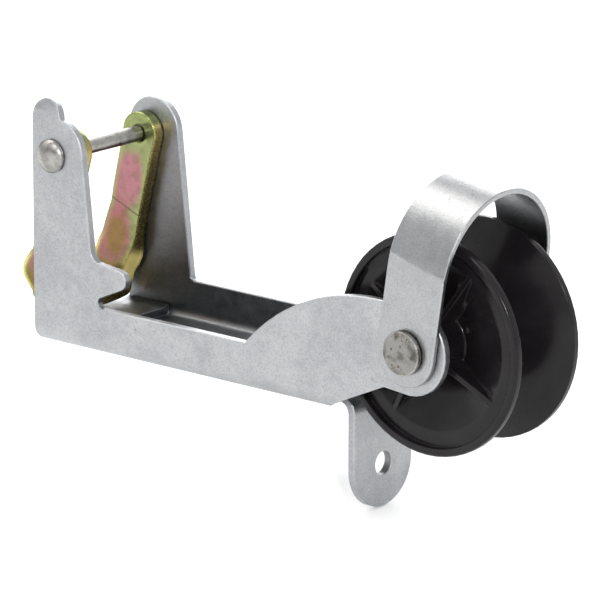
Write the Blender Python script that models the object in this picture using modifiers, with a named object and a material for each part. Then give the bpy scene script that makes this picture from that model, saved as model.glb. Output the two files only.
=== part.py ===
"""Bow roller with a rope lock, for the bow of a small boat.

A folded channel carries a grooved roller on a riveted axle, a strap that arches over the roller, and
a pawl that hangs on a pin between two ears and bears down on the rope.

X runs forward along the channel, Y across it and Z up. Lengths are in millimetres: X is measured from
the rear edge of the channel walls and Z from the underside of the floor. Every object is scaled to
metres and set back by ORIGIN_X, which puts the origin under the middle of the floor.
"""

import math

import bmesh
import bpy
from mathutils import Matrix, Vector

MM = 0.001
GAP = 0.3
ORIGIN_X = 85.0

# Bracket sheet
SHEET = 3.0
CHANNEL_HALF_WIDTH = 26.0
BEND_OUTER = 6.0
BEND_STEPS = 6
WALL_HEIGHT = 17.0
FLOOR_END = 132.0
CHEEK_SLOPE = 0.504
CHEEK_CORNER = (158.5, 12.6)
CHEEK_RADIUS = 15.3
HUMP_CENTRE = (155.0, -35.7)
HUMP_RADIUS = 78.0

# Ears, as (x, z). The near one has a knob on top and a nose in front.
NEAR_EAR_CENTRE = (11.8, 69.4)
NEAR_EAR_RADIUS = 11.7
FAR_EAR_CENTRE = (12.3, 69.0)
FAR_EAR_RADIUS = 11.6
EAR_FRONT_ANGLE = 6.4
EAR_FRONT_SLOPE = 0.113
EAR_FRONT_AT_WALL = 29.4
EAR_FOOT_RADIUS = 1.6
KNOB_CENTRE = (6.9, 81.5)
KNOB_RADIUS = 6.4
KNOB_CREASE = 83.1
KNOB_TILT = math.radians(12)
NOSE_FILLET_HEIGHT = 37.0
NOSE_FILLET_RADIUS = 4.2
NOSE_TIP_CENTRE = (39.8, 28.3)
NOSE_TIP_RADIUS = 3.5
NOTCH_CENTRE = (32.0, 18.9)
NOTCH_RADIUS = 1.9

# Rear end of the floor, folded back over itself
FOLD_CENTRE_X = 1.0
FOLD_FRONT = 20.0
FOLD_FLAT_HALF_WIDTH = 18.5
FOLD_HALF_WIDTH = 22.0
FOLD_CURL = 0.8

# Tongue that bends down from the front of the floor
TONGUE_HALF_WIDTH = 15.2
TONGUE_FRONT = 137.1
TONGUE_BEND_INNER = 3.9
TONGUE_RELIEF = (1.2, 1.6)
TONGUE_END_CENTRE = -23.6

# Bolt holes
BOLT_HOLE = 8.5
FLOOR_HOLES = (62.0, 108.0)

# Axle and roller
AXLE = (169.4, 27.0)
AXLE_RADIUS = 5.0
AXLE_HEAD_RADIUS = 7.6
AXLE_HEAD_THICKNESS = 2.0
AXLE_STEPS = 40
ROLLER_RADIUS = 38.0
ROLLER_HALF_WIDTH = 16.8
RING_INNER_RADIUS = 35.0
RIM_CORNER = 1.2
RIM_WIDTH = 3.3
BAND_HALF_WIDTH = 14.4
BAND_INNER_RADIUS = 30.6
DISH_EDGE = (14.0, 29.2)
DISH_FOOT = (9.5, 11.0)
GROOVE_ROOT = (2.7, 14.0)
HUB_RADIUS = 10.0
HUB_HALF_WIDTH = 22.5
RIB_ANGLE = 58
RIB_COUNT = 4
RIB_THICKNESS = 1.8
ROLLER_STEPS = 60

# Guard strap
STRAP = 2.0
STRAP_HALF_WIDTH = 11.9
STRAP_FAR_INSET = 1.5
STRAP_LEAN = math.radians(9.0)
STRAP_ARC_HEIGHT = 27.3
STRAP_STEPS = 28

# Pawl and the pin it swings on
PIN = (9.4, 67.8)
PIN_RADIUS = 2.8
PIN_HEAD_RADIUS = 5.9
PIN_HEAD_EDGE = 0.7
PIN_HEAD_RISE = 2.6
PIN_STEPS = 32
PAWL_PLATE = 4.4
PAWL_HALF_WIDTH = 20.45
PAWL_CENTRE_Y = 2.25
PAWL_LEAN = math.radians(13)
PAWL_EYE_FORWARD = 0.25
PAWL_EYE_RADIUS = 7.65
PAWL_CREASE = 28.0
PAWL_ARM_LEAN = math.radians(3)
PAWL_WEB_DEPTH = 59.3
PAWL_CORNER_OUTER = 3.0
PAWL_CORNER_INNER = 0.4
PAWL_CORNER_STEPS = 5
PAWL_WAIST = -7.2
PAWL_FAR_LOBE = 0.5
PAWL_FOOT_FRONT = 6.8
PAWL_WEB_REAR = -6.5
PAWL_WEB_FRONT = 10.0
PAWL_WEB_BOW = 1.8
PAWL_WEB_CHAMFER = 0.8
# down the arm: distance below the pin, rear edge, front edge outside, front edge inside;
# behind the waist the far arm's rear edge bulges less
PAWL_EDGES = (
    (0.0, PAWL_EYE_FORWARD - PAWL_EYE_RADIUS, PAWL_EYE_FORWARD + PAWL_EYE_RADIUS, 7.9),
    (9.0, -7.1, 7.6, 7.4),
    (23.0, -7.2, 7.4, 7.2),
    (28.0, -6.9, 7.2, 7.0),
    (33.0, -7.7, 7.4, 7.4),
    (37.0, -8.4, 7.8, 7.7),
    (40.6, -8.8, 8.5, 7.4),
    (42.2, -9.8, 8.8, 7.1),
    (44.7, -11.1, 9.0, 6.2),
    (48.0, -12.2, 8.3, 5.5),
    (50.4, -12.2, 7.2, 5.2),
    (52.4, -11.1, 6.8, 5.2),
    (54.0, -9.2, 6.8, 5.2),
)

ZINC = ((0.62, 0.63, 0.65), 0.38, 1.0)
BRIGHT_ZINC = ((0.70, 0.71, 0.72), 0.26, 1.0)
RIVET_STEEL = ((0.55, 0.54, 0.50), 0.34, 1.0)
YELLOW_ZINC = ((0.58, 0.47, 0.24), 0.32, 1.0)
BLACK_PLASTIC = ((0.018, 0.018, 0.020), 0.28, 0.0)


def clear_scene():
    for obj in list(bpy.data.objects):
        bpy.data.objects.remove(obj, do_unlink=True)
    for group in list(bpy.data.collections):
        bpy.data.collections.remove(group)


def new_collection(name, parent=None):
    group = bpy.data.collections.new(name)
    (parent or bpy.context.scene.collection).children.link(group)
    return group


clear_scene()
PARTS = new_collection("bow_roller")
CUTTERS = new_collection("cutters")
RIBS = new_collection("ribs", CUTTERS)
CUTTERS.hide_render = True


def finish(name, look):
    colour, roughness, metallic = look
    material = bpy.data.materials.new(name)
    material.use_nodes = True
    shader = material.node_tree.nodes["Principled BSDF"]
    shader.inputs["Base Color"].default_value = (*colour, 1.0)
    shader.inputs["Roughness"].default_value = roughness
    shader.inputs["Metallic"].default_value = metallic
    return material


def add_object(name, mesh, group, look, at=(0.0, 0.0)):
    """An object whose own origin lies at an (x, z) of the bracket."""
    obj = bpy.data.objects.new(name, mesh)
    obj.location = ((at[0] - ORIGIN_X) * MM, 0.0, at[1] * MM)
    group.objects.link(obj)
    if look is None:
        obj.hide_render = True
        obj.display_type = "WIRE"
    else:
        mesh.materials.append(finish(name, look))
    return obj


def add_mesh(name, bm, group, look=None, at=(0.0, 0.0)):
    bmesh.ops.scale(bm, vec=(MM, MM, MM), verts=bm.verts)
    bmesh.ops.recalc_face_normals(bm, faces=bm.faces)
    mesh = bpy.data.meshes.new(name)
    bm.to_mesh(mesh)
    bm.free()
    mesh.shade_smooth()
    mesh.set_sharp_from_angle(angle=math.radians(35))
    return add_object(name, mesh, group, look, at)


def arc(centre, radius, start, end, steps):
    """Points on a circle from one angle to another, in degrees."""
    points = []
    for i in range(steps + 1):
        angle = math.radians(start + (end - start) * i / steps)
        points.append((centre[0] + radius * math.cos(angle), centre[1] + radius * math.sin(angle)))
    return points


def prism(corners, along):
    """A flat face, given by its corners, pushed along a vector."""
    bm = bmesh.new()
    face = bm.faces.new([bm.verts.new(corner) for corner in corners])
    pushed = bmesh.ops.extrude_face_region(bm, geom=[face])
    moved = [item for item in pushed["geom"] if isinstance(item, bmesh.types.BMVert)]
    bmesh.ops.translate(bm, verts=moved, vec=along)
    return bm


def peg(name, radius, low, high, steps=48):
    """A round cutter from one point to another."""
    axis = Vector(high) - Vector(low)
    middle = (Vector(high) + Vector(low)) / 2
    place = Matrix.Translation(middle) @ axis.to_track_quat("Z", "Y").to_matrix().to_4x4()
    bm = bmesh.new()
    bmesh.ops.create_cone(
        bm, cap_ends=True, segments=steps, radius1=radius, radius2=radius, depth=axis.length, matrix=place
    )
    return add_mesh(name, bm, CUTTERS)


def cross_peg(name, at, radius):
    """A round cutter right across the bracket, at an (x, z)."""
    reach = 2 * CHANNEL_HALF_WIDTH
    return peg(name, radius, (at[0], -reach, at[1]), (at[0], reach, at[1]))


def boolean(obj, other, operation="DIFFERENCE"):
    modifier = obj.modifiers.new(other.name, "BOOLEAN")
    modifier.operation = operation
    modifier.solver = "EXACT"
    if isinstance(other, bpy.types.Collection):
        modifier.operand_type = "COLLECTION"
        modifier.collection = other
    else:
        modifier.object = other


def bevel(obj, width, angle):
    modifier = obj.modifiers.new("edge", "BEVEL")
    modifier.width = width * MM
    modifier.segments = 1
    modifier.limit_method = "ANGLE"
    modifier.angle_limit = math.radians(angle)


def solidify(obj, thickness):
    """Thickens an open surface to its inner side."""
    modifier = obj.modifiers.new("thickness", "SOLIDIFY")
    modifier.thickness = thickness * MM
    modifier.offset = -1.0
    modifier.use_even_offset = True
    modifier.use_quality_normals = True


def turned(name, profile, look, at, steps, ring=False):
    """A shape turned about the line along Y through an (x, z), from a profile of (y, radius)."""
    mesh = bpy.data.meshes.new(name)
    edges = [(i, i + 1) for i in range(len(profile) - 1)]
    if ring:
        edges.append((len(profile) - 1, 0))
    mesh.from_pydata([(r * MM, 0.0, y * MM) for y, r in profile], edges, [])
    obj = add_object(name, mesh, PARTS, look, at)
    obj.rotation_euler = (math.radians(-90), 0.0, 0.0)
    screw = obj.modifiers.new("turn", "SCREW")
    screw.angle = math.radians(360)
    screw.steps = steps
    screw.render_steps = steps
    screw.use_merge_vertices = True
    screw.merge_threshold = 0.00001
    screw.use_smooth_shade = True
    return obj


def front_crossing(first, first_radius, second, second_radius):
    """The front one of the two points where two circles cross."""
    between = Vector(second) - Vector(first)
    distance = between.length
    along = (first_radius**2 - second_radius**2 + distance**2) / (2 * distance)
    across = math.sqrt(first_radius**2 - along**2)
    unit = between / distance
    sideways = Vector((-unit.y, unit.x)) * across
    middle = Vector(first) + unit * along
    return max((middle - sideways, middle + sideways), key=lambda point: point.x)


def bearing(centre, point):
    return math.degrees(math.atan2(point[1] - centre[1], point[0] - centre[0]))


def ear_front(z):
    return EAR_FRONT_AT_WALL - EAR_FRONT_SLOPE * (z - WALL_HEIGHT)


def near_ear_outline():
    """The knob's crease line, its neck, the shoulder, then round the nose into the notch."""
    meet = front_crossing(KNOB_CENTRE, KNOB_RADIUS, NEAR_EAR_CENTRE, NEAR_EAR_RADIUS)
    crease = math.degrees(math.asin((KNOB_CREASE - KNOB_CENTRE[1]) / KNOB_RADIUS))
    rear = [(0.1, KNOB_CENTRE[1] - 1.0), arc(KNOB_CENTRE, KNOB_RADIUS, 180 - crease, 180, 1)[0]]
    neck = arc(KNOB_CENTRE, KNOB_RADIUS, crease, bearing(KNOB_CENTRE, meet), 3)[:-1]
    shoulder = arc(NEAR_EAR_CENTRE, NEAR_EAR_RADIUS, bearing(NEAR_EAR_CENTRE, meet), EAR_FRONT_ANGLE, 10)
    fillet_centre = (ear_front(NOSE_FILLET_HEIGHT) + NOSE_FILLET_RADIUS, NOSE_FILLET_HEIGHT)
    fillet = arc(fillet_centre, NOSE_FILLET_RADIUS, 180, 262, 6)
    tip = arc(NOSE_TIP_CENTRE, NOSE_TIP_RADIUS, 84, -62, 8)
    notch = arc(NOTCH_CENTRE, NOTCH_RADIUS, 118, 270, 6)
    return rear + neck + shoulder + fillet + tip + notch


def far_ear_outline():
    """Up the plain ear's rear edge, over its top and down to the fillet at its foot."""
    top = arc(FAR_EAR_CENTRE, FAR_EAR_RADIUS, 180, EAR_FRONT_ANGLE, 16)
    foot_centre = (EAR_FRONT_AT_WALL + EAR_FOOT_RADIUS, WALL_HEIGHT + EAR_FOOT_RADIUS)
    return top + arc(foot_centre, EAR_FOOT_RADIUS, 185, 270, 4)


def cheek_outline():
    """From the foot of the hump over the top and round the axle to the lower front corner."""
    start = math.degrees(math.asin((WALL_HEIGHT - HUMP_CENTRE[1]) / HUMP_RADIUS))
    hump = arc(HUMP_CENTRE, HUMP_RADIUS, 180 - start, 90, 14)
    end = arc(AXLE, CHEEK_RADIUS, 90, -100, 18)
    return hump + end + [CHEEK_CORNER]


def add_side(bm, side):
    """One bend, wall, cheek and ear, as its outer surface; returns the ends of its floor edge."""
    bend_y = CHANNEL_HALF_WIDTH - BEND_OUTER
    rows = []
    for i in range(BEND_STEPS + 1):
        angle = math.radians(90 * i / BEND_STEPS)
        y = side * (bend_y + BEND_OUTER * math.sin(angle))
        z = BEND_OUTER * (1 - math.cos(angle))
        rows.append((bm.verts.new((0.0, y, z)), bm.verts.new((FLOOR_END + z / CHEEK_SLOPE, y, z))))
    for (rear, front), (next_rear, next_front) in zip(rows, rows[1:]):
        bm.faces.new([rear, front, next_front, next_rear])
    y = side * CHANNEL_HALF_WIDTH
    outline = near_ear_outline() if side < 0 else far_ear_outline()
    wall = [bm.verts.new((x, y, z)) for x, z in outline + cheek_outline()]
    bm.faces.new([rows[-1][0]] + wall + [rows[-1][1]])
    if side < 0:
        add_knob_tip(bm, wall[1], wall[2])
    return rows[0]


def add_knob_tip(bm, rear, front):
    """The top of the knob, above the crease where it leans inwards."""
    crease = math.degrees(math.asin((KNOB_CREASE - KNOB_CENTRE[1]) / KNOB_RADIUS))
    tip = [rear]
    for x, z in arc(KNOB_CENTRE, KNOB_RADIUS, 180 - crease, crease, 12)[1:-1]:
        rise = z - KNOB_CREASE
        lean = rise * math.sin(KNOB_TILT) - CHANNEL_HALF_WIDTH
        tip.append(bm.verts.new((x, lean, KNOB_CREASE + rise * math.cos(KNOB_TILT))))
    bm.faces.new(tip + [front])


def add_floor_and_tongue(bm, near_edge, far_edge):
    """The underside of the floor and of the tongue that bends down in front of it."""
    bend_start = TONGUE_FRONT - SHEET - TONGUE_BEND_INNER
    strips = []
    for i in range(BEND_STEPS + 1):
        angle = math.radians(90 * i / BEND_STEPS)
        x = bend_start + TONGUE_BEND_INNER * math.sin(angle)
        z = TONGUE_BEND_INNER * (math.cos(angle) - 1)
        strips.append([bm.verts.new((x, side * TONGUE_HALF_WIDTH, z)) for side in (-1, 1)])
    back, out = TONGUE_RELIEF
    relief = [bm.verts.new((bend_start - back, side * (TONGUE_HALF_WIDTH + out), 0.0)) for side in (-1, 1)]
    first = strips[0]
    bm.faces.new([*near_edge, relief[0], first[0], first[1], relief[1], far_edge[1], far_edge[0]])
    for a, b in zip(strips, strips[1:]):
        bm.faces.new([a[0], b[0], b[1], a[1]])
    x = bend_start + TONGUE_BEND_INNER
    rounded = arc((0.0, TONGUE_END_CENTRE), TONGUE_HALF_WIDTH, 180, 360, 20)
    bm.faces.new([strips[-1][0]] + [bm.verts.new((x, y, z)) for y, z in rounded] + [strips[-1][1]])


def build_bracket():
    bm = bmesh.new()
    near_edge = add_side(bm, -1)
    far_edge = add_side(bm, 1)
    add_floor_and_tongue(bm, near_edge, far_edge)
    bracket = add_mesh("bracket", bm, PARTS, ZINC)
    solidify(bracket, SHEET)
    bevel(bracket, 0.35, angle=60)

    top = 2 * SHEET
    layer = [
        (FOLD_CENTRE_X, -FOLD_HALF_WIDTH, top + FOLD_CURL),
        (FOLD_CENTRE_X, -FOLD_FLAT_HALF_WIDTH, top),
        (FOLD_CENTRE_X, FOLD_FLAT_HALF_WIDTH, top),
        (FOLD_CENTRE_X, FOLD_HALF_WIDTH, top + FOLD_CURL),
        (FOLD_CENTRE_X, FOLD_HALF_WIDTH, SHEET),
        (FOLD_CENTRE_X, FOLD_FLAT_HALF_WIDTH, SHEET / 2),
        (FOLD_CENTRE_X, -FOLD_FLAT_HALF_WIDTH, SHEET / 2),
        (FOLD_CENTRE_X, -FOLD_HALF_WIDTH, SHEET),
    ]
    folded = prism(layer, (FOLD_FRONT - FOLD_CENTRE_X, 0.0, 0.0))
    boolean(bracket, add_mesh("folded_layer", folded, CUTTERS), "UNION")
    half = CHANNEL_HALF_WIDTH - BEND_OUTER
    low, high = (FOLD_CENTRE_X, -half, SHEET), (FOLD_CENTRE_X, half, SHEET)
    boolean(bracket, peg("rear_fold", SHEET - 0.05, low, high, steps=24), "UNION")

    for x in FLOOR_HOLES:
        hole = peg(f"floor_hole_{x:.0f}", BOLT_HOLE / 2, (x, 0.0, -SHEET), (x, 0.0, 2 * SHEET))
        boolean(bracket, hole)
    low, high = (TONGUE_FRONT - 2 * SHEET, 0.0, TONGUE_END_CENTRE), (TONGUE_FRONT + SHEET, 0.0, TONGUE_END_CENTRE)
    boolean(bracket, peg("tongue_hole", BOLT_HOLE / 2, low, high))
    boolean(bracket, cross_peg("axle_bore", AXLE, AXLE_RADIUS + GAP))
    boolean(bracket, cross_peg("pin_bore", PIN, PIN_RADIUS + GAP))


def build_strap():
    """Two legs outside the cheeks and a half circle over the roller, leaning forward a little."""
    across = Vector((math.cos(STRAP_LEAN), 0.0, -math.sin(STRAP_LEAN)))
    up = Vector((math.sin(STRAP_LEAN), 0.0, math.cos(STRAP_LEAN)))
    outer = CHANNEL_HALF_WIDTH + GAP + STRAP
    bm = bmesh.new()

    def add(s, y, h):
        return bm.verts.new(across * s + up * h + Vector((0.0, y, 0.0)))

    rows = []
    for i in range(STRAP_STEPS + 1):
        angle = math.pi * i / STRAP_STEPS
        rear = STRAP_FAR_INSET * (1 - math.cos(angle)) / 2 - STRAP_HALF_WIDTH
        y = -outer * math.cos(angle)
        h = STRAP_ARC_HEIGHT + outer * math.sin(angle)
        rows.append([add(s, y, h) for s in (rear, STRAP_HALF_WIDTH)])
    for a, b in zip(rows, rows[1:]):
        bm.faces.new([a[0], a[1], b[1], b[0]])
    for side, row, inset in ((-1, rows[0], 0.0), (1, rows[-1], STRAP_FAR_INSET)):
        rounded = arc((inset / 2, 0.0), STRAP_HALF_WIDTH - inset / 2, 180, 360, 20)
        bm.faces.new([row[0]] + [add(s, side * outer, h) for s, h in rounded] + [row[1]])
    strap = add_mesh("guard_strap", bm, PARTS, BRIGHT_ZINC, AXLE)
    solidify(strap, STRAP)
    bevel(strap, 0.3, angle=60)
    boolean(strap, cross_peg("strap_bore", AXLE, AXLE_RADIUS + GAP))


def groove_y(radius):
    """Half the width of the rope groove at a radius."""
    mouth = ROLLER_HALF_WIDTH - RIM_WIDTH
    share = (radius - GROOVE_ROOT[1]) / (ROLLER_RADIUS - GROOVE_ROOT[1])
    return GROOVE_ROOT[0] + (mouth - GROOVE_ROOT[0]) * share


def build_roller():
    """Two dished flanges with a rope groove between them, stiffened by ribs on both sides."""
    half = [
        (HUB_HALF_WIDTH, AXLE_RADIUS + GAP),
        (HUB_HALF_WIDTH, HUB_RADIUS - 0.5),
        (HUB_HALF_WIDTH - 0.5, HUB_RADIUS),
        (DISH_FOOT[0] + 0.8, HUB_RADIUS),
        DISH_FOOT,
        DISH_EDGE,
        (BAND_HALF_WIDTH, BAND_INNER_RADIUS),
        (BAND_HALF_WIDTH, RING_INNER_RADIUS),
        (ROLLER_HALF_WIDTH - 0.3, RING_INNER_RADIUS),
        (ROLLER_HALF_WIDTH, RING_INNER_RADIUS + 0.3),
    ]
    half += arc((ROLLER_HALF_WIDTH - RIM_CORNER, ROLLER_RADIUS - RIM_CORNER), RIM_CORNER, 0, 90, 4)
    mouth = ROLLER_HALF_WIDTH - RIM_WIDTH
    half += [(mouth + 0.5, ROLLER_RADIUS), (mouth, ROLLER_RADIUS - 0.5)]
    half += [(groove_y(16.0), 16.0), (GROOVE_ROOT[0] - 1.2, GROOVE_ROOT[1] + 0.2)]
    profile = half + [(-y, r) for y, r in reversed(half)]
    roller = turned("roller", profile, BLACK_PLASTIC, AXLE, ROLLER_STEPS, ring=True)

    # from inside the hub along the sloping top edge to the band, then back through the dish
    rib = [
        (HUB_RADIUS - 1.5, ROLLER_HALF_WIDTH + 1.5),
        (HUB_RADIUS + 2.4, ROLLER_HALF_WIDTH + 0.9),
        (BAND_INNER_RADIUS - 0.2, BAND_HALF_WIDTH - 0.1),
        (BAND_INNER_RADIUS + 1.3, BAND_HALF_WIDTH - 0.8),
        (BAND_INNER_RADIUS + 1.3, DISH_EDGE[0] - 1.0),
        (HUB_RADIUS - 1.5, DISH_FOOT[0] - 1.1),
    ]
    for side in (-1, 1):
        for i in range(RIB_COUNT):
            corners = [(r, side * y, -RIB_THICKNESS / 2) for r, y in rib]
            bm = prism(corners, (0.0, 0.0, RIB_THICKNESS))
            turn = Matrix.Rotation(-math.radians(RIB_ANGLE + 360 * i / RIB_COUNT), 3, "Y")
            bmesh.ops.rotate(bm, verts=bm.verts, matrix=turn)
            add_mesh(f"rib_{side}_{i}", bm, RIBS, at=AXLE)
    boolean(roller, RIBS, "UNION")


def build_axle():
    """A plain rivet: a flat head on the near side and a formed one on the far side."""
    seat = CHANNEL_HALF_WIDTH + 2 * GAP + STRAP
    top = seat + AXLE_HEAD_THICKNESS
    profile = [
        (top - 0.3, 0.0),
        (top, AXLE_RADIUS * 0.6),
        (top - 0.2, AXLE_HEAD_RADIUS - 0.9),
        (top - 0.9, AXLE_HEAD_RADIUS - 0.2),
        (seat + 0.2, AXLE_HEAD_RADIUS - 0.3),
        (seat, AXLE_HEAD_RADIUS - 0.6),
        (seat, AXLE_RADIUS),
        (-seat, AXLE_RADIUS),
        (-seat, AXLE_HEAD_RADIUS - 0.4),
        (-seat - 0.3, AXLE_HEAD_RADIUS),
        (-top + 0.4, AXLE_HEAD_RADIUS),
        (-top, AXLE_HEAD_RADIUS - 0.4),
        (-top - 0.05, 0.0),
    ]
    turned("axle", profile, RIVET_STEEL, AXLE, AXLE_STEPS)


def build_pawl_pin():
    """A rivet with a domed head on the near ear and a smaller formed one on the far ear."""
    seat = CHANNEL_HALF_WIDTH + GAP
    sphere = (PIN_HEAD_RADIUS**2 + PIN_HEAD_RISE**2) / (2 * PIN_HEAD_RISE)
    dome = []
    for i in range(8, -1, -1):
        r = PIN_HEAD_RADIUS * i / 8
        rise = math.sqrt(sphere**2 - r**2) - (sphere - PIN_HEAD_RISE)
        dome.append((-seat - PIN_HEAD_EDGE - rise, r))
    profile = [
        (seat + 1.7, 0.0),
        (seat + 1.5, PIN_RADIUS),
        (seat + 0.8, PIN_RADIUS + 1.7),
        (seat, PIN_RADIUS + 2.0),
        (seat, PIN_RADIUS),
        (-seat, PIN_RADIUS),
        (-seat, PIN_HEAD_RADIUS),
    ]
    turned("pawl_pin", profile + dome, RIVET_STEEL, PIN, PIN_STEPS)


def pawl_stations(side):
    """Cross-sections from one eye to the middle of the web.

    Each has four corners (forward, y, down): outer rear, outer front, inner front, inner rear.
    """
    stations = []
    for depth, rear, front, inner_front in PAWL_EDGES:
        if side > 0 and rear < PAWL_WAIST:
            rear = PAWL_WAIST + PAWL_FAR_LOBE * (rear - PAWL_WAIST)
        outer = PAWL_HALF_WIDTH - max(0.0, depth - PAWL_CREASE) * math.tan(PAWL_ARM_LEAN)
        inner = outer - PAWL_PLATE
        stations.append([
            (rear, side * outer, depth),
            (front, side * outer, depth),
            (inner_front, side * inner, depth),
            (rear, side * inner, depth),
        ])
    foot = PAWL_HALF_WIDTH - (PAWL_WEB_DEPTH - PAWL_CREASE) * math.tan(PAWL_ARM_LEAN)
    corner_front = PAWL_WEB_FRONT - PAWL_WEB_BOW
    for i in range(PAWL_CORNER_STEPS + 1):
        share = i / PAWL_CORNER_STEPS
        front = PAWL_FOOT_FRONT + (corner_front - PAWL_FOOT_FRONT) * share
        cos, sin = math.cos(math.radians(90) * share), math.sin(math.radians(90) * share)
        outer = foot - PAWL_CORNER_OUTER * (1 - cos)
        outer_depth = PAWL_WEB_DEPTH - PAWL_CORNER_OUTER * (1 - sin)
        inner = foot - PAWL_PLATE - PAWL_CORNER_INNER * (1 - cos)
        inner_depth = PAWL_WEB_DEPTH - PAWL_PLATE - PAWL_CORNER_INNER * (1 - sin)
        stations.append([
            (PAWL_WEB_REAR, side * outer, outer_depth),
            (front, side * outer, outer_depth),
            (front - 2 * PAWL_WEB_CHAMFER, side * inner, inner_depth),
            (PAWL_WEB_REAR, side * inner, inner_depth),
        ])
    flat = foot - PAWL_CORNER_OUTER
    inner_flat = foot - PAWL_PLATE - PAWL_CORNER_INNER
    for share in (0.75, 0.5, 0.25):
        front = PAWL_WEB_FRONT - PAWL_WEB_BOW * share**2
        stations.append([
            (PAWL_WEB_REAR, side * flat * share, PAWL_WEB_DEPTH),
            (front, side * flat * share, PAWL_WEB_DEPTH),
            (front - PAWL_WEB_CHAMFER, side * inner_flat * share, PAWL_WEB_DEPTH - PAWL_PLATE),
            (PAWL_WEB_REAR, side * inner_flat * share, PAWL_WEB_DEPTH - PAWL_PLATE),
        ])
    return stations


def build_pawl():
    """A plate bent into a U: two arms hang on the pin and the web between them bears on the rope."""
    bm = bmesh.new()
    rows = []
    for station in pawl_stations(-1) + pawl_stations(1)[::-1]:
        rows.append([bm.verts.new((forward, y, -depth)) for forward, y, depth in station])
    for a, b in zip(rows, rows[1:]):
        for i in range(4):
            j = (i + 1) % 4
            bm.faces.new([a[i], a[j], b[j], b[i]])
    eye = arc((PAWL_EYE_FORWARD, 0.0), PAWL_EYE_RADIUS, 180, 0, 14)[1:-1]
    for side, row in ((-1, rows[0]), (1, rows[-1])):
        rims = []
        for y, rear, front in ((PAWL_HALF_WIDTH, row[0], row[1]), (PAWL_HALF_WIDTH - PAWL_PLATE, row[3], row[2])):
            rim = [rear] + [bm.verts.new((forward, side * y, z)) for forward, z in eye] + [front]
            bm.faces.new(rim)
            rims.append(rim)
        outer, inner = rims
        for i in range(len(outer) - 1):
            bm.faces.new([outer[i], outer[i + 1], inner[i + 1], inner[i]])
    pawl = add_mesh("pawl", bm, PARTS, YELLOW_ZINC, PIN)
    pawl.location.y = PAWL_CENTRE_Y * MM
    pawl.rotation_euler = (0.0, PAWL_LEAN, 0.0)
    bevel(pawl, 0.5, angle=50)
    boolean(pawl, cross_peg("pawl_bore", PIN, PIN_RADIUS + GAP))


build_bracket()
build_strap()
build_roller()
build_axle()
build_pawl_pin()
build_pawl()
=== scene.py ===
"""The looks of the bow roller: its pieces made smooth, their finishes, the studio and the camera.

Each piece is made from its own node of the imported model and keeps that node's size and place. A pressed
ridge on the strap and a gate mark on the roller are added. Lengths are in metres, in the frame of the
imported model. X runs forward, Y across and Z up.
"""

import math

import bmesh
import bpy
from mathutils import Matrix, Vector


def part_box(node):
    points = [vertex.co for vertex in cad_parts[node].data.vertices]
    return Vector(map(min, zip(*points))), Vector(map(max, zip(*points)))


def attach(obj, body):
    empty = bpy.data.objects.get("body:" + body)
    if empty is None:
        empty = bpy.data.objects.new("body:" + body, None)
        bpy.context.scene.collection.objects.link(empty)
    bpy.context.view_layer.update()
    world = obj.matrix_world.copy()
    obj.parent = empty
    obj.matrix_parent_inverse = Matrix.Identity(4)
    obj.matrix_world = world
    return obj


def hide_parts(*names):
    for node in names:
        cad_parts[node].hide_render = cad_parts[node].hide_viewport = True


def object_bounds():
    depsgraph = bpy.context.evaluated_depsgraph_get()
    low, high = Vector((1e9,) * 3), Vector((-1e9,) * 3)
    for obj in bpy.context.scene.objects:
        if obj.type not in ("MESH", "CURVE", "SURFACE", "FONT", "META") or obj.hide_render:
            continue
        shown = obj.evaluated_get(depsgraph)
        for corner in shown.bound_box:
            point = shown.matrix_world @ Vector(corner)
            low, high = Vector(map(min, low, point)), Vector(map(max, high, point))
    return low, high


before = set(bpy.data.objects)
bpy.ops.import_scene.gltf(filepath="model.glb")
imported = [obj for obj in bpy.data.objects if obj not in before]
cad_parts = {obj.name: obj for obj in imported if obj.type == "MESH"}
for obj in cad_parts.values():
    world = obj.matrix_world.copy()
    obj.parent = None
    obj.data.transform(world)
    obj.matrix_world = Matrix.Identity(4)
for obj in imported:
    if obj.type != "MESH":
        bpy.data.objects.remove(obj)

CAD_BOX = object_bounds()
MM = 0.001

# Mesh work. Faces that meet by more than a sharp angle keep a sharp edge.
WELD_DISTANCE = 0.002 * MM
FLAT_ANGLE = math.radians(0.3)
SHARP_ANGLE = math.radians(30)
GATE_SHARP_ANGLE = math.radians(40)
RIVET_SHARP_ANGLE = math.radians(50)

# Ridge pressed into the strap's near leg, measured up the leg from the axle
STRAP_LEAN = math.radians(9)
RIDGE_HEIGHT = 30.5 * MM
RIDGE_SLOPE = 0.147
RIDGE_CUTS = (-0.6 * MM, 0.0, 2.6 * MM)
RIDGE_SKIN = 0.6 * MM
RIDGE_RISE = 0.4 * MM
CUT_TOLERANCE = 0.0001 * MM
CREST_TOLERANCE = 0.01 * MM

# Gate mark on the roller's near dish, from the roller's middle. Its profile is (radius, rise).
GATE_TURN = math.radians(28)
GATE_OUT = 13.0 * MM
GATE_ACROSS = -10.0 * MM
GATE_SIDES = 16
GATE_PROFILE = (
    (1.5 * MM, 0.0),
    (1.25 * MM, 0.25 * MM),
    (0.9 * MM, 0.35 * MM),
    (0.75 * MM, 0.7 * MM),
    (0.35 * MM, 0.85 * MM),
)

# Finishes of the pawl, measured down the leaning pawl from its pin
PAWL_LEAN = math.radians(13)
CREASE_LEAN = math.radians(22)
CREASE_DROP = 27.7 * MM
# The painted gold highlight on the foot fades in over the first span and out over the second.
FOOT_HIGHLIGHT_TOP = (40 * MM, 46 * MM)
FOOT_HIGHLIGHT_BOTTOM = (52 * MM, 58 * MM)

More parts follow.
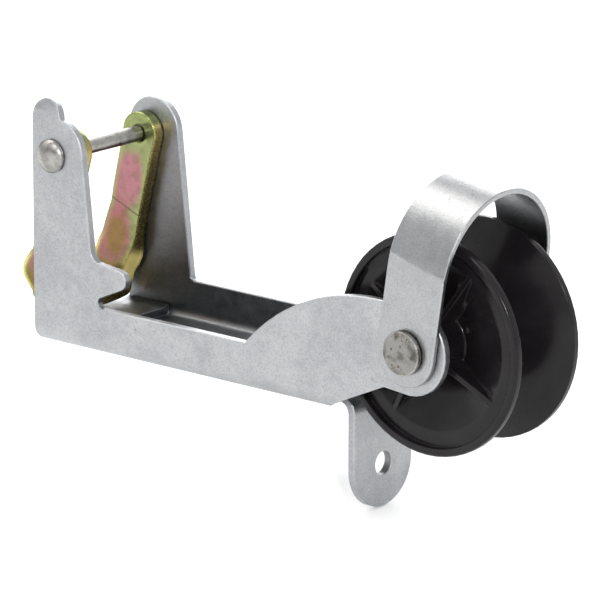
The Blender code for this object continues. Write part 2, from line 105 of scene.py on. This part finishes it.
# Colour films on the pawl: drop from the pin, place across, half length, half width and tint
FILMS = (
    (19.0 * MM, -1.0 * MM, 12.5 * MM, 7.5 * MM, (0.32, 0.145, 0.16)),
    (38.0 * MM, -4.0 * MM, 13.0 * MM, 10.0 * MM, (0.27, 0.11, 0.115)),
    (39.5 * MM, -1.5 * MM, 8.0 * MM, 5.0 * MM, (0.20, 0.12, 0.05)),
)

# Studio
WHITE = (1.0, 1.0, 1.0)
BLACK = (0.0, 0.0, 0.0)
WARM_WHITE = (1.0, 0.97, 0.91)
FLOOR_DARK = (0.80, 0.80, 0.80)
FLOOR_LIGHT = (0.82, 0.82, 0.82)
FLOOR_GAP = 0.5 * MM
FLOOR_HALF_SIZE = 8.0
FLOOR_GLOW = 0.18
SKY_STRENGTH = 0.95
LIGHT_TARGET = (0.1, 0.0, 0.06)
CAMERA_PLACE = (1.20284, -1.38397, 0.52072)
CAMERA_AZIMUTH = math.radians(40.64)
CAMERA_ELEVATION = math.radians(15.15)
CAMERA_LENS = 333.4
CAMERA_SENSOR = 36.0
CAMERA_REACH = 100.0


# ---------------------------------------------------------------- shader helpers

class Shader:
    """One material's node tree, with short calls for the nodes that the finishes share."""

    def __init__(self, name):
        self.material = bpy.data.materials.new(name)
        self.material.use_nodes = True
        self.tree = self.material.node_tree
        self.tree.nodes.clear()
        self.output = self.add("ShaderNodeOutputMaterial")
        self.surface = self.add("ShaderNodeBsdfPrincipled")
        self.link(self.surface.outputs["BSDF"], self.output.inputs["Surface"])
        self.place = self.add("ShaderNodeTexCoord").outputs["Object"]

    def add(self, kind, **settings):
        """A new node with its settings."""
        node = self.tree.nodes.new(kind)
        for key, value in settings.items():
            setattr(node, key, value)
        return node

    def link(self, source, target):
        self.tree.links.new(source, target)

    def put(self, socket, value):
        """Sets a socket to a number, a colour or another node's output."""
        if isinstance(value, bpy.types.NodeSocket):
            self.link(value, socket)
        elif isinstance(value, tuple) and len(value) == 3 and socket.type == "RGBA":
            socket.default_value = (*value, 1.0)
        else:
            socket.default_value = value

    def noise(self, size, detail=4.0, rough=0.55, distortion=0.0):
        """Noise whose blobs are about this many metres across."""
        node = self.add("ShaderNodeTexNoise")
        self.link(self.place, node.inputs["Vector"])
        node.inputs["Scale"].default_value = 1.0 / size
        node.inputs["Detail"].default_value = detail
        node.inputs["Roughness"].default_value = rough
        node.inputs["Distortion"].default_value = distortion
        return node.outputs["Fac"]

    def spots(self, size):
        """Distance from points scattered about this many metres apart, for stains, pits and specks."""
        node = self.add("ShaderNodeTexVoronoi")
        self.link(self.place, node.inputs["Vector"])
        node.inputs["Scale"].default_value = 1.0 / size
        return node.outputs["Distance"]

    def fit(self, value, low, high, out_low=0.0, out_high=1.0):
        """Maps a range of values to another, clamped."""
        node = self.add("ShaderNodeMapRange", interpolation_type="SMOOTHSTEP")
        self.put(node.inputs["Value"], value)
        self.put(node.inputs["From Min"], low)
        self.put(node.inputs["From Max"], high)
        self.put(node.inputs["To Min"], out_low)
        self.put(node.inputs["To Max"], out_high)
        return node.outputs["Result"]

    def maths(self, operation, first, second=0.0):
        node = self.add("ShaderNodeMath", operation=operation)
        self.put(node.inputs[0], first)
        self.put(node.inputs[1], second)
        return node.outputs["Value"]

    def times(self, first, second):
        return self.maths("MULTIPLY", first, second)

    def mix(self, factor, first, second):
        """The first colour at nought, the second at one."""
        node = self.add("ShaderNodeMix", data_type="RGBA")
        self.put(node.inputs["Factor"], factor)
        self.put(node.inputs["A"], first)
        self.put(node.inputs["B"], second)
        return node.outputs["Result"]

    def ramp(self, factor, stops):
        """A colour between stops, each a position and a colour."""
        node = self.add("ShaderNodeValToRGB")
        self.put(node.inputs["Fac"], factor)
        bar = node.color_ramp
        while len(bar.elements) < len(stops):
            bar.elements.new(0.5)
        for element, (position, colour) in zip(bar.elements, stops):
            element.position = position
            element.color = (*colour, 1.0)
        return node.outputs["Color"]

    def dot(self, first, second):
        """The dot product of a node's vector and another, or a fixed direction."""
        node = self.add("ShaderNodeVectorMath", operation="DOT_PRODUCT")
        self.put(node.inputs[0], first)
        self.put(node.inputs[1], second)
        return node.outputs["Value"]

    def along(self, direction, start):
        """How far a point of the object lies from a start along a direction."""
        offset = self.add("ShaderNodeVectorMath", operation="SUBTRACT")
        self.link(self.place, offset.inputs[0])
        offset.inputs[1].default_value = start
        return self.dot(offset.outputs["Vector"], direction)

    def facing(self, direction, low, high):
        """One on faces that look along a direction of the object, nought on the others."""
        normal = self.add("ShaderNodeTexCoord").outputs["Normal"]
        return self.fit(self.dot(normal, direction), low, high)

    def rounded(self, radius, samples=4):
        """Normals as if every edge were rounded off."""
        soft = self.add("ShaderNodeBevel", samples=samples)
        soft.inputs["Radius"].default_value = radius
        return soft.outputs["Normal"]

    def edges(self, radius, low=0.02, high=0.25):
        """One along edges within a radius, nought on flat stretches."""
        plain = self.add("ShaderNodeNewGeometry").outputs["Normal"]
        return self.fit(self.maths("SUBTRACT", 1.0, self.dot(self.rounded(radius), plain)), low, high)

    def sheltered(self, reach, low, high):
        """One deep inside the piece's own corners and channels, nought in the open."""
        node = self.add("ShaderNodeAmbientOcclusion", samples=8, only_local=True)
        node.inputs["Distance"].default_value = reach
        return self.fit(node.outputs["AO"], low, high, 1.0, 0.0)

    def bump(self, height, depth, strength, over=None):
        """Normals that follow a height, on top of other normals if given."""
        node = self.add("ShaderNodeBump")
        self.put(node.inputs["Height"], height)
        node.inputs["Distance"].default_value = depth
        node.inputs["Strength"].default_value = strength
        if over is not None:
            self.link(over, node.inputs["Normal"])
        return node.outputs["Normal"]

    def finish(self, colour, roughness, metallic, normal=None, **more):
        """Joins the parts to the surface shader and gives the material."""
        self.put(self.surface.inputs["Base Color"], colour)
        self.put(self.surface.inputs["Roughness"], roughness)
        self.put(self.surface.inputs["Metallic"], metallic)
        if normal is not None:
            self.link(normal, self.surface.inputs["Normal"])
        for name, value in more.items():
            self.put(self.surface.inputs[name.replace("_", " ")], value)
        return self.material


# ---------------------------------------------------------------- finishes

def zinc_plate(name, light, dark, gloss, mottled, corner_shade):
    """Bright zinc on sheet steel: mottled and finely grained, with worn edges, stains, pits and painted
    shade that darkens the sheet in its own corners and channels.
    """
    stain_brown = (0.22, 0.19, 0.16)
    pit_grey = (0.10, 0.095, 0.09)
    painted_shade_grey = (0.045, 0.05, 0.055)
    worn_zinc = (0.85, 0.87, 0.90)
    grain_grey = tuple(c * 0.62 for c in dark)

    s = Shader(name)
    cloud = s.noise(22 * MM, detail=5.0, distortion=0.6)
    mottle = s.noise(4.5 * MM, detail=6.0, rough=0.65)
    grain = s.noise(0.6 * MM, detail=3.0, rough=0.65)
    tone = s.maths("ADD", s.times(cloud, 0.45), s.times(mottle, 0.55))
    colour = s.mix(s.fit(tone, 0.32, 0.66), dark, light)
    colour = s.mix(s.fit(grain, 0.42, 0.70, 0.0, 0.45), colour, grain_grey)
    stain = s.times(s.fit(s.spots(6.5 * MM), 0.16, 0.05), s.fit(cloud, 0.52, 0.62))
    colour = s.mix(s.times(stain, 0.55), colour, stain_brown)
    pit = s.times(s.fit(s.spots(2.4 * MM), 0.10, 0.03), s.fit(mottle, 0.50, 0.62))
    colour = s.mix(s.times(pit, 0.6), colour, pit_grey)
    # Painted shade: the colour turns dark grey where the sheet is sheltered by its own corners and
    # channels.
    painted_shade = s.times(s.sheltered(60 * MM, 0.35, 1.0), corner_shade)
    colour = s.mix(painted_shade, colour, painted_shade_grey)
    worn = s.edges(0.7 * MM)
    colour = s.mix(s.times(worn, 0.5), colour, worn_zinc)
    rough = s.fit(mottle, 0.3, 0.7, gloss, gloss + 0.16 * mottled)
    normal = s.bump(mottle, 0.10 * MM, 0.35 * mottled, over=s.rounded(0.5 * MM))
    normal = s.bump(grain, 0.08 * MM, 0.9, over=normal)
    return s.finish(colour, rough, 1.0, normal)


def yellow_zinc(name, pin):
    """Yellow passivated zinc: olive green with pink and brown films, a thin line of painted shade along the
    bending crease, a painted amber sheen on the faces that look forward and a painted gold highlight on the
    foot.
    """
    olive, low_brown = (0.215, 0.24, 0.11), (0.15, 0.105, 0.035)
    mottle_green = (0.12, 0.11, 0.05)
    rim_green = (0.26, 0.33, 0.11)
    crease_shade = (0.10, 0.10, 0.04)
    worn_yellow = (0.72, 0.62, 0.24)
    front_sheen_amber = (0.42, 0.29, 0.10)
    foot_highlight_gold = (1.00, 0.85, 0.30)
    down = (-math.sin(PAWL_LEAN), 0.0, -math.cos(PAWL_LEAN))
    forward = (math.cos(PAWL_LEAN), 0.0, -math.sin(PAWL_LEAN))
    down_crease = (-math.sin(CREASE_LEAN), 0.0, -math.cos(CREASE_LEAN))

    s = Shader(name)
    drop = s.along(down, pin)
    across = s.along(forward, pin)
    cloud = s.noise(14 * MM, detail=3.0, distortion=0.9)
    mottle = s.noise(3.2 * MM, detail=5.0, rough=0.6)
    wander = s.times(s.maths("SUBTRACT", cloud, 0.5), 0.9)
    colour = s.mix(s.fit(drop, 36 * MM, 54 * MM), olive, low_brown)
    for film_drop, film_across, length, width, tint in FILMS:
        up = s.maths("DIVIDE", s.maths("SUBTRACT", drop, film_drop), length)
        aside = s.maths("DIVIDE", s.maths("SUBTRACT", across, film_across), width)
        reach = s.maths("SQRT", s.maths("ADD", s.times(up, up), s.times(aside, aside)))
        film = s.fit(s.maths("ADD", reach, wander), 1.15, 0.60)
        colour = s.mix(film, colour, tint)
    colour = s.mix(s.fit(mottle, 0.45, 0.75, 0.0, 0.35), colour, mottle_green)
    rim = s.edges(4.5 * MM, 0.004, 0.12)
    colour = s.mix(s.times(rim, 0.85), colour, rim_green)
    # Painted shade: a thin dark line along the bending crease, standing in for the shade in its groove.
    from_crease = s.maths("ABSOLUTE", s.maths("SUBTRACT", s.along(down_crease, pin), CREASE_DROP))
    crease = s.fit(from_crease, 0.1 * MM, 0.4 * MM, 1.0, 0.0)
    colour = s.mix(s.times(crease, 0.75), colour, crease_shade)
    worn = s.edges(0.8 * MM)
    colour = s.mix(s.times(worn, 0.6), colour, worn_yellow)
    # Painted sheen: faces that look forward are turned amber.
    front = s.facing(forward, 0.60, 0.85)
    colour = s.mix(s.times(front, 0.7), colour, front_sheen_amber)
    # Painted highlight: the foot's forward faces and rounded edges turn bright gold, rougher and less
    # metallic.
    edge = s.maths("MAXIMUM", s.times(front, 0.8), s.edges(3.0 * MM, 0.01, 0.12))
    foot_highlight = s.times(edge, s.times(s.fit(drop, *FOOT_HIGHLIGHT_TOP), s.fit(drop, *FOOT_HIGHLIGHT_BOTTOM, 1.0, 0.0)))
    colour = s.mix(foot_highlight, colour, foot_highlight_gold)
    rough = s.maths("ADD", s.fit(mottle, 0.3, 0.7, 0.20, 0.34), s.times(foot_highlight, 0.2))
    metallic = s.fit(foot_highlight, 0.0, 1.0, 1.0, 0.25)
    normal = s.bump(mottle, 0.08 * MM, 0.4, over=s.rounded(1.3 * MM, samples=8))
    normal = s.bump(crease, -0.1 * MM, 0.7, over=normal)
    return s.finish(colour, rough, metallic, normal)


def rivet_steel(name, light, blotched):
    """Plain steel rivets: blotched grey and brown, with fine pits, rust specks, painted shade in their own
    corners and bright rims that are partly wear and partly a painted highlight.
    """
    plain_steel = (0.80, 0.79, 0.77)
    grain_brown = (0.25, 0.23, 0.21)
    seat_shade_grey = (0.03, 0.03, 0.03)
    rust_brown = (0.10, 0.05, 0.03)
    rim_wear_and_highlight = (0.88, 0.87, 0.84)

    s = Shader(name)
    blotch = s.noise(4.8 * MM, detail=6.0, rough=0.68, distortion=0.4)
    grain = s.noise(0.7 * MM, detail=4.0, rough=0.65)
    shade = s.ramp(blotch, (
        (0.36, (0.16, 0.145, 0.12)),
        (0.46, (0.48, 0.45, 0.39)),
        (0.54, (0.86, 0.85, 0.81)),
        (0.66, (1.00, 0.99, 0.96)),
    ))
    colour = s.mix(blotched, plain_steel, shade)
    colour = s.mix(s.fit(grain, 0.5, 0.75, 0.0, 0.4), colour, grain_brown)
    colour = s.mix(1.0 - light, colour, BLACK)
    # Painted shade: darker grey in the rivet's own corners, under the head.
    painted_shade = s.times(s.sheltered(3 * MM, 0.35, 0.80), 0.8)
    colour = s.mix(painted_shade, colour, seat_shade_grey)
    rust = s.times(s.fit(s.spots(2.0 * MM), 0.30, 0.12), s.fit(blotch, 0.47, 0.53))
    colour = s.mix(s.times(rust, blotched), colour, rust_brown)
    # Bright rims: partly wear and partly a painted highlight where the rims catch the light.
    worn = s.edges(0.8 * MM, 0.01, 0.15)
    colour = s.mix(s.times(worn, 0.85), colour, rim_wear_and_highlight)
    rough = s.fit(blotch, 0.3, 0.7, 0.26, 0.46)
    normal = s.bump(blotch, 0.10 * MM, 0.5)
    normal = s.bump(grain, 0.03 * MM, 0.6, over=normal)
    return s.finish(colour, rough, 1.0, normal)


def black_nylon(name):
    """Moulded black plastic: smooth with a faint flow texture, dusty specks and a soft gloss."""
    dark, light = (0.007, 0.006, 0.0068), (0.012, 0.0108, 0.0118)
    dust_grey = (0.14, 0.14, 0.14)
    scuff_grey = (0.06, 0.06, 0.065)

    s = Shader(name)
    cloud = s.noise(18 * MM, distortion=0.5)
    fine = s.noise(1.2 * MM, rough=0.6)
    colour = s.mix(s.fit(cloud, 0.35, 0.7), dark, light)
    speck = s.times(s.fit(s.spots(2.8 * MM), 0.09, 0.03), s.fit(cloud, 0.50, 0.60))
    colour = s.mix(s.times(speck, 0.22), colour, dust_grey)
    scuffed = s.edges(0.8 * MM)
    colour = s.mix(s.times(scuffed, 0.22), colour, scuff_grey)
    rough = s.fit(cloud, 0.3, 0.7, 0.15, 0.26)
    normal = s.bump(fine, 0.03 * MM, 0.5, over=s.rounded(0.5 * MM))
    return s.finish(colour, rough, 0.0, normal, Specular_IOR_Level=0.20)


# ---------------------------------------------------------------- pieces

def middle(node):
    """The middle of a CAD node's box."""
    low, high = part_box(node)
    return (Vector(low) + Vector(high)) / 2


def welded(node):
    """A CAD node's mesh with its points joined and its flat stretches made whole."""
    bm = bmesh.new()
    bm.from_mesh(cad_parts[node].data)
    bmesh.ops.remove_doubles(bm, verts=bm.verts, dist=WELD_DISTANCE)
    bmesh.ops.dissolve_limit(bm, angle_limit=FLAT_ANGLE, verts=bm.verts, edges=bm.edges)
    return bm


def add_piece(name, bm, material, body, angle):
    """A piece whose bends shade smoothly, sharp only where faces meet by more than an angle."""
    mesh = bpy.data.meshes.new(name)
    bm.to_mesh(mesh)
    bm.free()
    mesh.shade_smooth()
    mesh.set_sharp_from_angle(angle=angle)
    mesh.materials.append(material)
    piece = bpy.data.objects.new(name, mesh)
    bpy.context.scene.collection.objects.link(piece)
    soften = piece.modifiers.new("soften", "WEIGHTED_NORMAL")
    soften.keep_sharp = True
    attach(piece, body)
    return piece


def crease_strap(bm):
    """The ridge left by the press where the near leg meets the arch."""
    across = Vector((math.cos(STRAP_LEAN), 0.0, -math.sin(STRAP_LEAN)))
    up = Vector((math.sin(STRAP_LEAN), 0.0, math.cos(STRAP_LEAN)))
    facing = (up + across * RIDGE_SLOPE).normalized()
    crest = middle("axle") + up * RIDGE_HEIGHT
    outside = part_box("guard_strap")[0].y
    for offset in RIDGE_CUTS:
        near = [face for face in bm.faces if face.calc_center_median().y < 0.0]
        edges = list({edge for face in near for edge in face.edges})
        points = list({vert for face in near for vert in face.verts})
        bmesh.ops.bisect_plane(
            bm,
            geom=near + edges + points,
            dist=CUT_TOLERANCE,
            plane_co=crest + facing * offset,
            plane_no=facing,
        )
    for vert in bm.verts:
        rise = (vert.co - crest).dot(facing)
        if vert.co.y < outside + RIDGE_SKIN and abs(rise) < CREST_TOLERANCE:
            vert.co.y -= RIDGE_RISE


def build_bracket():
    """The folded sheet: channel, ears, cheeks and tongue."""
    zinc = zinc_plate(
        "zinc_plate",
        light=(0.43, 0.44, 0.455),
        dark=(0.31, 0.32, 0.335),
        gloss=0.34,
        mottled=1.0,
        corner_shade=0.82,
    )
    sheet = add_piece("folded_bracket", welded("bracket"), zinc, "bracket", SHARP_ANGLE)
    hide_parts("bracket")


def build_strap():
    """The bright strap that arches over the roller."""
    zinc = zinc_plate(
        "bright_zinc",
        light=(0.36, 0.367, 0.378),
        dark=(0.30, 0.306, 0.316),
        gloss=0.27,
        mottled=0.2,
        corner_shade=0.6,
    )
    bm = welded("guard_strap")
    crease_strap(bm)
    strap = add_piece("strap_band", bm, zinc, "bracket", SHARP_ANGLE)
    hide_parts("guard_strap")


def build_roller(material):
    """The moulded roller."""
    roller = add_piece("rope_roller", welded("roller"), material, "roller", SHARP_ANGLE)
    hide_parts("roller")


def build_gate_mark(material):
    """The small stub of plastic left on the near dish where the mould was filled."""
    place = Matrix.Translation(middle("roller")) @ Matrix.Rotation(-GATE_TURN, 4, "Y")
    bm = bmesh.new()
    rings = []
    for radius, rise in GATE_PROFILE:
        ring = []
        for i in range(GATE_SIDES):
            turn = 2 * math.pi * i / GATE_SIDES
            out = GATE_OUT + radius * math.cos(turn)
            point = Vector((out, GATE_ACROSS - rise, radius * math.sin(turn)))
            ring.append(bm.verts.new(place @ point))
        rings.append(ring)
    for a, b in zip(rings, rings[1:]):
        for i in range(GATE_SIDES):
            j = (i + 1) % GATE_SIDES
            bm.faces.new([a[i], a[j], b[j], b[i]])
    bm.faces.new(rings[-1])
    bm.faces.new(rings[0][::-1])
    bmesh.ops.recalc_face_normals(bm, faces=bm.faces)
    add_piece("gate_mark", bm, material, "roller", GATE_SHARP_ANGLE)


def build_rivet(name, node, material):
    """A rivet, held fast in the bracket."""
    rivet = add_piece(name, welded(node), material, "bracket", RIVET_SHARP_ANGLE)
    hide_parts(node)


def build_pawl():
    """The pawl that swings on its pin."""
    gold = yellow_zinc("yellow_zinc", tuple(middle("pawl_pin")))
    pawl = add_piece("rope_pawl", welded("pawl"), gold, "pawl", SHARP_ANGLE)
    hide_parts("pawl")


# ---------------------------------------------------------------- studio

def soft_light(name, place, target, size, power, colour=WHITE):
    """A rectangular light that looks at a target."""
    lamp = bpy.data.lights.new(name, "AREA")
    lamp.shape = "RECTANGLE"
    lamp.size, lamp.size_y = size
    lamp.energy = power
    lamp.color = colour
    obj = bpy.data.objects.new(name, lamp)
    obj.location = place
    aim = Vector(target) - Vector(place)
    obj.rotation_euler = aim.to_track_quat("-Z", "Y").to_euler()
    bpy.context.scene.collection.objects.link(obj)


def build_lights():
    """A key from above, a small flash by the camera, a warm light for the arch and a wide rear one."""
    soft_light("key", (0.2, -1.4, 1.9), (0.0, 0.0, 0.03), (0.7, 0.5), 12.0)
    soft_light("flash", (1.25, -1.20, 0.85), (0.08, 0.0, 0.03), (0.08, 0.08), 14.0)
    soft_light("arch", (-1.06, -0.15, 1.60), LIGHT_TARGET, (1.1, 1.1), 15.0, WARM_WHITE)
    soft_light("rear", (-1.3, 1.95, 1.25), LIGHT_TARGET, (2.3, 1.6), 42.0)


def build_floor(height):
    """A plain pale floor that glows a little, so that it is as white as the background."""
    bm = bmesh.new()
    bmesh.ops.create_grid(bm, x_segments=1, y_segments=1, size=FLOOR_HALF_SIZE)
    mesh = bpy.data.meshes.new("studio_floor")
    bm.to_mesh(mesh)
    bm.free()
    floor = bpy.data.objects.new("studio_floor", mesh)
    floor.location.z = height
    bpy.context.scene.collection.objects.link(floor)
    s = Shader("studio_floor")
    colour = s.mix(s.noise(0.3, detail=2.0), FLOOR_DARK, FLOOR_LIGHT)
    material = s.finish(
        colour, 0.9, 0.0, Specular_IOR_Level=0.1, Emission_Color=WHITE, Emission_Strength=FLOOR_GLOW
    )
    mesh.materials.append(material)


def build_world():
    """An even white sky."""
    world = bpy.data.worlds.new("studio")
    bpy.context.scene.world = world
    world.use_nodes = True
    back = world.node_tree.nodes["Background"]
    back.inputs["Color"].default_value = (*WHITE, 1.0)
    back.inputs["Strength"].default_value = SKY_STRENGTH


def build_camera():
    """A long lens from the front and the near side, a little above the channel."""
    ahead = Vector((
        -math.sin(CAMERA_AZIMUTH) * math.cos(CAMERA_ELEVATION),
        math.cos(CAMERA_AZIMUTH) * math.cos(CAMERA_ELEVATION),
        -math.sin(CAMERA_ELEVATION),
    ))
    camera = bpy.data.objects.new("camera", bpy.data.cameras.new("camera"))
    camera.location = CAMERA_PLACE
    camera.rotation_euler = ahead.to_track_quat("-Z", "Y").to_euler()
    camera.data.sensor_width = CAMERA_SENSOR
    camera.data.lens = CAMERA_LENS
    camera.data.clip_end = CAMERA_REACH
    bpy.context.scene.collection.objects.link(camera)
    bpy.context.scene.camera = camera


nylon = black_nylon("black_nylon")
build_bracket()
build_strap()
build_roller(nylon)
build_rivet("axle_rivet", "axle", rivet_steel("axle_steel", light=0.27, blotched=0.85))
build_rivet("pin_rivet", "pawl_pin", rivet_steel("pin_steel", light=0.42, blotched=0.45))
build_pawl()
build_gate_mark(nylon)

build_floor(CAD_BOX[0].z - FLOOR_GAP)
build_world()
build_lights()
build_camera()
bpy.context.scene.view_settings.view_transform = "Standard"
